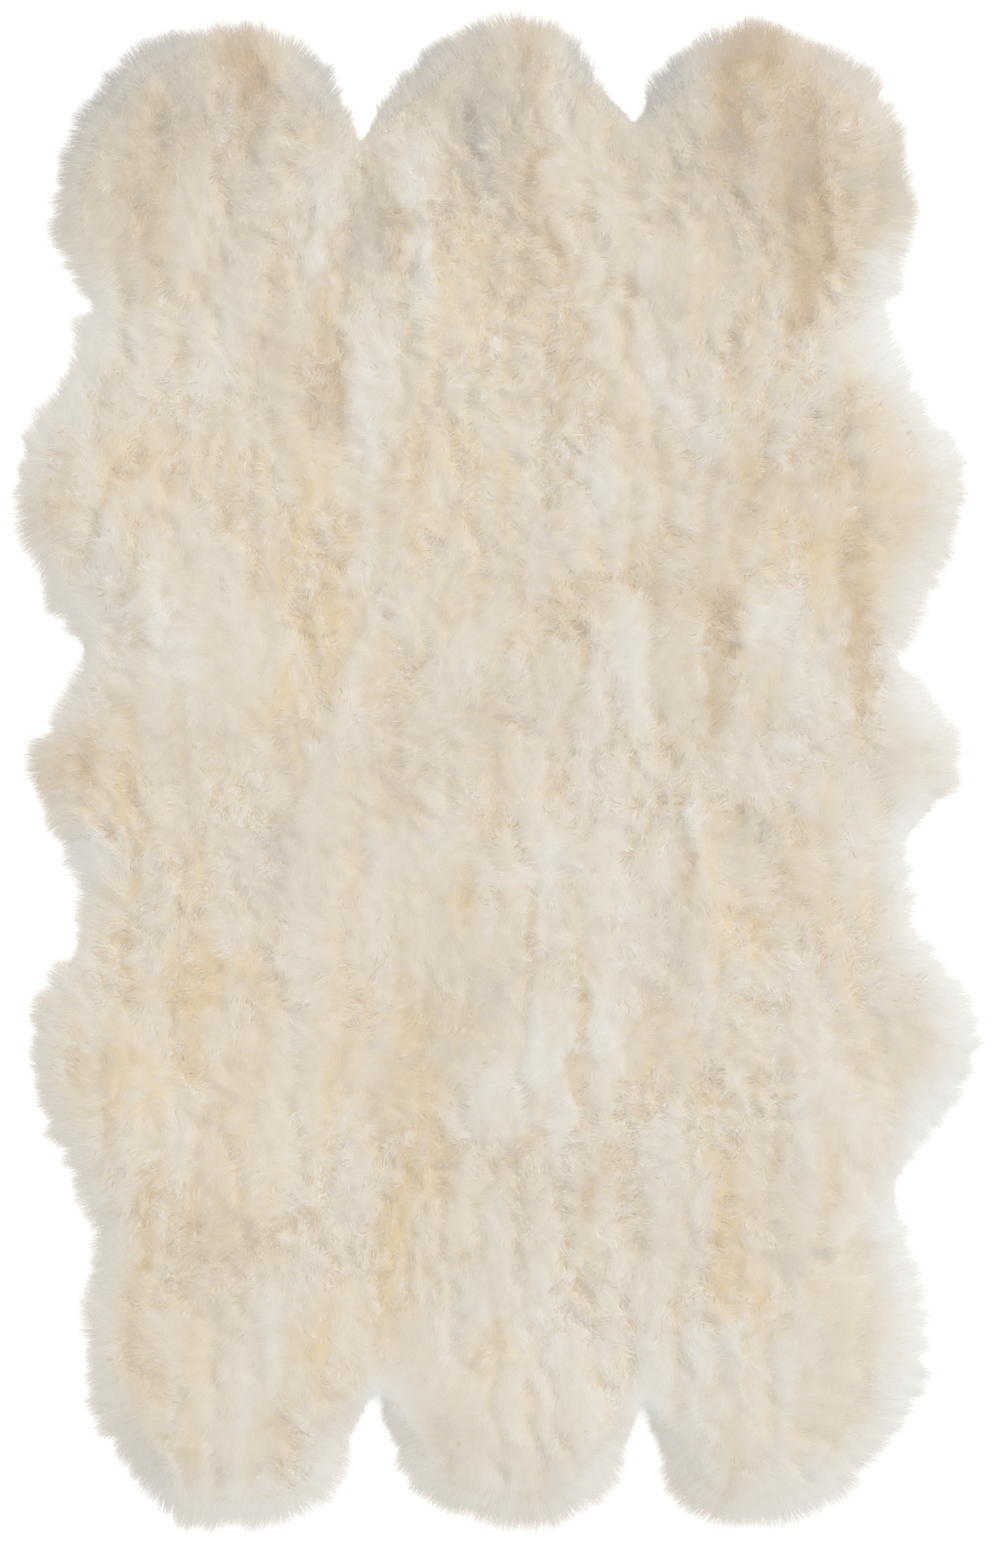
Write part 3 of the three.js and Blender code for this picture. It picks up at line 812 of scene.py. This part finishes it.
def grow_curls():
    """Short hooked locks side by side in rows where the wool is tousled, dark ones of painted shade between
    light ones of painted highlight.
    """
    likely = curly * np.clip(0.45 + 1.4 * crease, 0.0, 1.0)
    row_x, row_y = scatter(CURL_PITCH, lambda x, y: rng.random(len(x)) < sample(likely, x, y))
    own = nearest_cell(small.on_top, row_x, row_y)
    row_turn = small.turn[own] + rng.normal(0.0, 0.35, len(row_x))
    row_hook = rng.uniform(0.15, 0.45, len(row_x)) * rng.choice((-1.0, 1.0), len(row_x))
    row_reach = rng.uniform(*CURL_LONG, len(row_x))
    place = np.tile(np.arange(CURLS_IN_ROW), len(row_x))
    count = len(place)
    heading = np.repeat(row_turn, CURLS_IN_ROW) + rng.normal(0.0, 0.18, count)
    way_x = np.cos(heading)
    way_y = np.sin(heading)
    reach = np.repeat(row_reach, CURLS_IN_ROW) * rng.uniform(0.7, 1.3, count)
    hook = reach * np.repeat(row_hook, CURLS_IN_ROW) * rng.uniform(0.6, 1.4, count)
    aside = (place - 0.5 * (CURLS_IN_ROW - 1) + rng.normal(0.0, 0.3, count)) * CURL_GAP
    ahead = rng.normal(0.0, 0.0022, count)
    x = np.repeat(row_x, CURLS_IN_ROW) - way_y * aside + way_x * ahead
    y = np.repeat(row_y, CURLS_IN_ROW) + way_x * aside + way_y * ahead
    tip_x = x + way_x * reach
    tip_y = y + way_y * reach
    bend_x = x + way_x * 0.6 * reach - way_y * hook
    bend_y = y + way_y * 0.6 * reach + way_x * hook
    lift = rng.uniform(0.0006, 0.0018, count)
    # About every other curl is dark, painted shade between locks; the others are pale, painted highlight on
    # their edges
    dark = ((place % 2 == 1) ^ (rng.random(count) < 0.15))[:, None]
    shade = np.where(dark, CURL_PAINTED_SHADE, CURL_PAINTED_HIGHLIGHT) * rng.uniform(0.2, 1.0, (count, 1))
    tip_z = sample(wool_height, tip_x, tip_y) + rng.uniform(0.0, 0.0012, count)
    return {
        "root": np.stack([x, y, sample(wool_height, x, y) - 0.001], 1),
        "bend": np.stack([bend_x, bend_y, sample(wool_height, bend_x, bend_y) + lift], 1),
        "tip": np.stack([tip_x, tip_y, tip_z], 1),
        "width": rng.uniform(*CURL_WIDE, count),
        "tints": tints_at(x, y) + tuft_tints(x, y) + shade,
        "normal": surface_normal(x, y),
        "owner": nearest_cell(owner_map, x, y),
        "twist": rng.uniform(-0.5, 0.5, count),
        "swell": -0.2,
        "root_tone_and_shade": 1.0,
        "round": 0.4,
    }


def grow_fringe(pitch, deep, least_over, root_width, far_width):
    """Fine strands round the rim, which run out over the hide's edge to the floor and thin out."""
    x, y = scatter(pitch, lambda x, y: (sample(rug_share, x, y) > 0.5) & (sample(edge_gap, x, y) < deep))
    count = len(x)
    edge = sample(edge_gap, x, y)
    heading = np.arctan2(sample(flow_y, x, y), sample(flow_x, x, y))
    heading = heading + sample(rim_sway, x, y) + rng.normal(0.0, 0.18, count)
    way_x = np.cos(heading)
    way_y = np.sin(heading)
    over_share = least_over + (1.0 - least_over) * rng.random(count)
    over = sample(rim_over, x, y) * over_share
    reach = np.minimum(edge + over, rng.uniform(*FRINGE_LONG, count))
    beside_far = sample(wide_share, x + way_x * reach, y + way_y * reach)
    reach = reach - 0.7 * over * ease((beside_far - 0.34) / 0.20)
    far_gap = sample(outside_gap, x + way_x * reach, y + way_y * reach)
    reach = np.minimum(reach, edge + np.maximum(0.9 * far_gap, 0.006))
    tip_x = x + way_x * reach
    tip_y = y + way_y * reach
    root_top = sample(wool_height, x, y)
    tip_z = 0.8 * sample(wool_height, tip_x, tip_y) + rng.uniform(0.001, 0.006, count)
    bow = rng.normal(0.0, 0.0025, count)
    bend_x = x + (tip_x - x) * 0.5 - way_y * bow
    bend_y = y + (tip_y - y) * 0.5 + way_x * bow
    bend_z = sample(wool_height, bend_x, bend_y) + rng.uniform(-0.001, 0.0035, count)
    bend_z = np.maximum(bend_z, 0.003)
    return {
        "root": np.stack([x, y, np.maximum(root_top * rng.uniform(0.6, 0.95, count), 0.002)], 1),
        "bend": np.stack([bend_x, bend_y, bend_z], 1),
        "tip": np.stack([tip_x, tip_y, tip_z], 1),
        "width": rng.uniform(0.8, 1.2, count) * (root_width + (far_width - root_width) * over_share),
        "tints": tints_at(x, y) + tuft_tints(x, y) + rng.normal(FRINGE_TINT, 0.04, (count, 3)),
        "normal": surface_normal(x, y),
        "owner": nearest_cell(owner_map, x, y),
        "twist": rng.uniform(-0.35, 0.35, count),
        "swell": -0.6,
        "root_tone_and_shade": 0.4,
        "round": 0.12,
    }


def ribbon_arrays(strands, segments):
    """Corners, normals, tip shares, map places and faces of tapered ribbons that end in a point.

    "swell" widens a ribbon towards its tip, "depth" deepens its root's colour and "round" bends its normals.
    """
    root, bend, tip = strands["root"], strands["bend"], strands["tip"]
    count = len(root)
    along = unit(tip - root)
    side = unit(np.cross(along, strands["normal"]))
    over = np.cross(side, along)
    side = side * np.cos(strands["twist"])[:, None] + over * np.sin(strands["twist"])[:, None]

    rows = 2 * segments + 1
    corners = np.zeros((count, rows, 3))
    normals = np.zeros((count, rows, 3))
    tip_share = np.zeros((count, rows))
    places = np.zeros((count, rows, 2))
    for step in range(segments + 1):
        t = step / segments
        middle = root * (1 - t) ** 2 + bend * (2 * t * (1 - t)) + tip * t * t
        tangent = unit((bend - root) * (1 - t) + (tip - bend) * t + 1e-9)
        facing = np.cross(side, tangent)
        facing = facing * np.where((facing * strands["normal"]).sum(1) < 0, -1.0, 1.0)[:, None]
        normal = unit(strands["normal"] + strands["round"] * facing)
        half = 0.5 * strands["width"] * (1.0 + strands["swell"] * t)
        for corner, way in ((2 * step, -1.0), (2 * step + 1, 1.0)):
            if corner < rows:
                corners[:, corner] = middle + side * (half * way * (step < segments))[:, None]
                normals[:, corner] = normal
                # Roots take a deeper colour, their own warmer tone and painted shade between the strands
                tip_share[:, corner] = 1.0 - strands["root_tone_and_shade"] * (1.0 - t)
                places[:, corner] = (0.5 + 0.3 * way * (step < segments), 0.1 + 0.8 * t)
    corners[:, :, 2] = np.clip(corners[:, :, 2], STRAND_LOW, STRAND_HIGH)

    loops = []
    sizes = []
    for step in range(segments):
        face = [2 * step, 2 * step + 1, 2 * step + 3, 2 * step + 2]
        if step == segments - 1:
            face = face[:2] + [rows - 1]
        face = np.array(face)
        first = corners[:, face[0]]
        facing = np.cross(corners[:, face[1]] - first, corners[:, face[2]] - first)
        turned = (facing * strands["normal"]).sum(1) < 0
        loops.append(np.where(turned[:, None], face[::-1][None, :], face[None, :]))
        sizes.append(len(face))
    order = np.concatenate(loops, 1)
    return corners, normals, tip_share, places, order, sizes


def strand_mesh(name, batches):
    """One mesh of several batches of strands, each batch with its own number of segments."""
    parts = []
    total = sum(len(strands["root"]) for strands, _ in batches)
    squares = int(math.ceil(math.sqrt(total)))
    strands_before = corners_before = loops_before = 0
    for strands, segments in batches:
        corners, normals, tips, places, order, sizes = ribbon_arrays(strands, segments)
        count, rows = tips.shape
        number = strands_before + np.arange(count)
        square = np.stack([number % squares, number // squares], 1)[:, None, :]
        uv = (square + np.take_along_axis(places, order[:, :, None], 1)) / squares
        first = np.concatenate([[0], np.cumsum(sizes)[:-1]])
        width = order.shape[1]
        parts.append((
            corners.reshape(-1, 3),
            normals.reshape(-1, 3),
            tips.ravel(),
            np.repeat(strands["tints"], rows, 0),
            (order + corners_before + np.arange(count)[:, None] * rows).ravel(),
            (first[None, :] + np.arange(count)[:, None] * width + loops_before).ravel(),
            uv.reshape(-1, 2),
        ))
        strands_before += count
        corners_before += count * rows
        loops_before += count * width
    corners, normals, tips, tints, loops, starts, uv = (np.concatenate(kind) for kind in zip(*parts))
    mesh = mesh_from_faces(name, corners, loops, starts)
    set_coat(mesh, tints, tips)
    layer = mesh.uv_layers.new(name="OFBake")
    layer.data.foreach_set("uv", uv.astype(np.float32).ravel())
    mesh.polygons.foreach_set("use_smooth", np.ones(len(starts), bool))
    mesh.normals_split_custom_set_from_vertices(normals)
    return mesh


def owned(strands, number):
    """The strands that grow on one pelt."""
    chosen = strands["owner"] == number
    return {key: value[chosen] if isinstance(value, np.ndarray) else value for key, value in strands.items()}


# Sheets cut to a map's outline, for the undercoat and the hide

def rim_edges(quads):
    """The quads' edges that only one quad has."""
    edges = np.stack([quads, np.roll(quads, -1, 1)], 2).reshape(-1, 2)
    many = quads.max() + 1
    there = edges[:, 0] * many + edges[:, 1]
    back = edges[:, 1] * many + edges[:, 0]
    return edges[~np.isin(there, back)]


def outline_grid(field, pitch):
    """Points and quads where a map is over one half, the outer points moved out to that line."""
    x = np.arange(MAP_X[0], MAP_X[-1], pitch)
    y = np.arange(MAP_Y[0], MAP_Y[-1], pitch)
    rows = len(y)
    x, y = (a.ravel() for a in np.meshgrid(x, y, indexing="ij"))
    keep = (sample(field, x, y) > 0.5).reshape(-1, rows)
    full = keep[:-1, :-1] & keep[1:, :-1] & keep[1:, 1:] & keep[:-1, 1:]
    i, j = np.nonzero(full)
    first = i * rows + j
    quads = np.stack([first, first + rows, first + rows + 1, first + 1], 1)
    used, quads = np.unique(quads, return_inverse=True)
    quads = quads.reshape(-1, 4)
    x = x[used]
    y = y[used]

    outer = np.unique(rim_edges(quads))
    slope_x, slope_y = slope(field)
    start_x, start_y = x.copy(), y.copy()
    for _ in range(4):
        rise_x = sample(slope_x, x[outer], y[outer])
        rise_y = sample(slope_y, x[outer], y[outer])
        short = 0.5 - sample(field, x[outer], y[outer])
        step = short / np.maximum(rise_x ** 2 + rise_y ** 2, 25.0)
        x[outer] += np.clip(rise_x * step, -0.5 * pitch, 0.5 * pitch)
        y[outer] += np.clip(rise_y * step, -0.5 * pitch, 0.5 * pitch)
    x[outer] = np.clip(x[outer], start_x[outer] - pitch, start_x[outer] + pitch)
    y[outer] = np.clip(y[outer], start_y[outer] - pitch, start_y[outer] + pitch)
    return x, y, quads


def rim_loops(rim):
    """The rim's edges joined end to end into closed loops."""
    following = dict(rim.tolist())
    loops = []
    while following:
        first, corner = following.popitem()
        loop = [first]
        while corner != first:
            loop.append(corner)
            corner = following.pop(corner)
        loops.append(loop)
    return loops


def closed_sheet(name, x, y, quads, top, bottom):
    """A closed mesh with a shaped top and a flat bottom, which is one face for each loop of the rim."""
    rim = rim_edges(quads)
    loops = rim_loops(rim)
    below = {corner: len(x) + k for k, corner in enumerate(np.concatenate(loops).tolist())}
    under = np.array(list(below))
    corners = np.concatenate([
        np.stack([x, y, top], 1),
        np.stack([x[under], y[under], np.full(len(under), bottom)], 1),
    ])
    lower = np.array([[below[a], below[b]] for a, b in rim.tolist()])
    sides = np.stack([rim[:, 1], rim[:, 0], lower[:, 0], lower[:, 1]], 1)
    faces = [*quads, *sides]
    faces += [np.array([below[corner] for corner in reversed(loop)]) for loop in loops]
    sizes = np.array([len(face) for face in faces])
    starts = np.concatenate([[0], np.cumsum(sizes)[:-1]])
    return mesh_from_faces(name, corners, np.concatenate(faces), starts), under


# Materials

def new_material(name):
    """A node material and its shader."""
    material = bpy.data.materials.new(name)
    material.use_nodes = True
    return material, material.node_tree, material.node_tree.nodes["Principled BSDF"]


def set_inputs(node, values):
    """Gives a node's inputs these values."""
    for name, value in values.items():
        node.inputs[name].default_value = value
    return node


def mix_colour(tree, share, first, second, kind="MIX"):
    """Mixes two colours, either of which may be a socket, by a socket's share."""
    node = tree.nodes.new("ShaderNodeMix")
    node.data_type = "RGBA"
    node.blend_type = kind
    node.clamp_factor = True
    tree.links.new(share, node.inputs["Factor"])
    for socket, value in ((node.inputs[6], first), (node.inputs[7], second)):
        if isinstance(value, tuple):
            socket.default_value = (*value, 1.0)
        else:
            tree.links.new(value, socket)
    return node.outputs[2]


def wool_material():
    """Cream wool that turns gold, tan, pale or grey by its coat, with the roots deeper: their own tone and
    painted shade.
    """
    material, tree, shader = new_material("sheep_wool")
    coat = tree.nodes.new("ShaderNodeAttribute")
    coat.attribute_name = "coat"
    shares = tree.nodes.new("ShaderNodeSeparateColor")
    tree.links.new(coat.outputs["Color"], shares.inputs["Color"])
    colour = mix_colour(tree, shares.outputs[0], WOOL_CREAM, WOOL_GOLD)
    colour = mix_colour(tree, shares.outputs[2], colour, WOOL_PALE)
    colour = mix_colour(tree, shares.outputs[1], colour, WOOL_TAN)
    less = tree.nodes.new("ShaderNodeMath")
    less.operation = "MULTIPLY"
    less.inputs[1].default_value = -1.0
    tree.links.new(shares.outputs[2], less.inputs[0])
    colour = mix_colour(tree, less.outputs["Value"], colour, WOOL_GREY)
    grain = set_inputs(tree.nodes.new("ShaderNodeTexNoise"), {"Scale": 320.0, "Detail": 3.0})
    place = tree.nodes.new("ShaderNodeTexCoord")
    tree.links.new(place.outputs["Object"], grain.inputs["Vector"])
    fleck = tree.nodes.new("ShaderNodeMapRange")
    set_inputs(fleck, {"From Min": 0.35, "From Max": 0.75, "To Max": 0.2})
    tree.links.new(grain.outputs["Fac"], fleck.inputs["Value"])
    colour = mix_colour(tree, fleck.outputs["Result"], colour, WOOL_FLECK)
    # Roots deepen: their own warmer tone and painted shade between the strands, which cast none
    root_tone_and_shade = tree.nodes.new("ShaderNodeMapRange")
    set_inputs(root_tone_and_shade, {"From Min": 0.0, "From Max": 0.6, "To Min": 0.3, "To Max": 0.0})
    tree.links.new(coat.outputs["Alpha"], root_tone_and_shade.inputs["Value"])
    colour = mix_colour(tree, root_tone_and_shade.outputs["Result"], colour, WOOL_ROOT_TONE_AND_SHADE, "MULTIPLY")
    tree.links.new(colour, shader.inputs["Base Color"])
    set_inputs(shader, {"Roughness": 0.85, "Specular IOR Level": 0.15})
    set_inputs(shader, {"Sheen Weight": 0.15, "Sheen Roughness": 0.6})
    return material


def hide_material():
    """Suede side of a tanned skin, with a soft nap and faint blotches."""
    material, tree, shader = new_material("tanned_hide")
    place = tree.nodes.new("ShaderNodeTexCoord")
    blotch = set_inputs(tree.nodes.new("ShaderNodeTexNoise"), {"Scale": 14.0, "Detail": 6.0})
    nap = set_inputs(tree.nodes.new("ShaderNodeTexNoise"), {"Scale": 900.0, "Detail": 2.0})
    tree.links.new(place.outputs["Object"], blotch.inputs["Vector"])
    tree.links.new(place.outputs["Object"], nap.inputs["Vector"])
    colour = mix_colour(tree, blotch.outputs["Fac"], HIDE_DARK, HIDE_LIGHT)
    colour = mix_colour(tree, nap.outputs["Fac"], colour, HIDE_NAP)
    tree.links.new(colour, shader.inputs["Base Color"])
    bump = set_inputs(tree.nodes.new("ShaderNodeBump"), {"Strength": 0.35, "Distance": 0.0006})
    tree.links.new(nap.outputs["Fac"], bump.inputs["Height"])
    tree.links.new(bump.outputs["Normal"], shader.inputs["Normal"])
    set_inputs(shader, {"Roughness": 0.92, "Specular IOR Level": 0.2})
    return material


# Pieces
wool = wool_material()
suede = hide_material()
fleece_strands = grow_fleece()
fringe_strands = grow_fringe(**FRINGE)
wisp_strands = grow_fringe(**WISPS)
curl_strands = grow_curls()
coat_shape = 1.15 * blur(edge_gap > WOOL_EDGE, 0.006)
coat_x, coat_y, coat_quads = outline_grid(coat_shape, UNDERCOAT_PITCH)
coat_owner = nearest_cell(owner_map, coat_x[coat_quads].mean(1), coat_y[coat_quads].mean(1))


def make_strands(name, batches):
    """A piece of strands. They cast no shadow, because thin wool lets light through."""
    piece = add_piece(name, strand_mesh(name, batches), wool)
    piece.visible_shadow = False
    piece.visible_diffuse = False
    return piece


def make_undercoat(pelt, number):
    """The closed body of wool below one pelt's strands."""
    used, quads = np.unique(coat_quads[coat_owner == number], return_inverse=True)
    quads = quads.reshape(-1, 4)
    x = coat_x[used]
    y = coat_y[used]
    upper = sample(wool_height, x, y) - UNDERCOAT_DEPTH
    upper = np.maximum(upper * (0.7 + 0.3 * ease(sample(edge_gap, x, y) / 0.03)), 0.004)
    mesh, under = closed_sheet(pelt + "_undercoat", x, y, quads, upper, HIDE_BOTTOM + HIDE_THICK)
    all_x = np.append(x, x[under])
    all_y = np.append(y, y[under])
    # The undercoat takes part of the roots' deeper colour, their warmer tone and painted shade
    set_coat(mesh, tints_at(all_x, all_y) + tuft_tints(all_x, all_y), np.full(len(all_x), 0.3))
    mesh.polygons.foreach_set("use_smooth", np.arange(len(mesh.polygons)) < len(quads))
    normals = np.zeros((len(mesh.loops), 3))
    normals[:quads.size] = surface_normal(x, y)[quads.ravel()]
    mesh.normals_split_custom_set(normals)
    return add_piece(pelt + "_undercoat", mesh, wool)


def make_hide(pelt, number):
    """The tanned skin under one pelt's wool, a flat sheet that the wool moves with."""
    inner = (owner_map == number) & (edge_gap > HIDE_INSET)
    x, y, quads = outline_grid(blur(inner, HIDE_SOFT), HIDE_PITCH)
    upper = np.full(len(x), HIDE_BOTTOM + HIDE_THICK)
    mesh, _ = closed_sheet(pelt + "_hide", x, y, quads, upper, HIDE_BOTTOM)
    hide = add_piece(pelt + "_hide", mesh, suede)


for number, pelt in enumerate(PELTS):
    batches = [(owned(fleece_strands, number), 2), (owned(fringe_strands, number), 2)]
    batches.append((owned(wisp_strands, number), 1))
    fleece = make_strands(pelt + "_fleece", batches)
    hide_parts(pelt)
    curls = make_strands(pelt + "_curls", [(owned(curl_strands, number), 3)])
    undercoat = make_undercoat(pelt, number)
    make_hide(pelt, number)

# Floor, light and camera
scene = bpy.context.scene
scene.view_settings.view_transform = "Standard"

floor_mesh = bpy.data.meshes.new("floor")
floor_corners = [(x * FLOOR_HALF, y * FLOOR_HALF, 0) for x, y in ((-1, -1), (1, -1), (1, 1), (-1, 1))]
floor_mesh.from_pydata(floor_corners, [], [(0, 1, 2, 3)])
floor = bpy.data.objects.new("floor", floor_mesh)
scene.collection.objects.link(floor)
floor_material, _, floor_shader = new_material("pale_floor")
set_inputs(floor_shader, {"Base Color": FLOOR_GREY, "Roughness": 0.9, "Specular IOR Level": 0.0})
set_inputs(floor_shader, {"Emission Color": WHITE, "Emission Strength": 0.25})
floor_mesh.materials.append(floor_material)

world = bpy.data.worlds.new("studio")
scene.world = world
world.use_nodes = True
set_inputs(world.node_tree.nodes["Background"], {"Color": WHITE, "Strength": 0.50})


def add_light(name, turn, spread, power):
    """A far soft light. Its turn about x, y and z and its spread are in degrees."""
    data = bpy.data.lights.new(name, "SUN")
    data.angle = math.radians(spread)
    data.energy = power
    light = bpy.data.objects.new(name, data)
    light.rotation_euler = [math.radians(angle) for angle in turn]
    scene.collection.objects.link(light)


add_light("key", turn=(0, 42, 25), spread=50, power=1.62)
add_light("fill", turn=(0, -35, -20), spread=80, power=0.4)

camera_data = bpy.data.cameras.new("camera")
camera_data.sensor_width = SENSOR_WIDE
camera_data.lens = SENSOR_WIDE * CAMERA_HIGH / (PHOTO_HIGH * PIXEL)
camera = bpy.data.objects.new("camera", camera_data)
camera.location = (PHOTO_X, PHOTO_Y, CAMERA_HIGH + WOOL_MIDDLE)
scene.collection.objects.link(camera)
scene.camera = camera
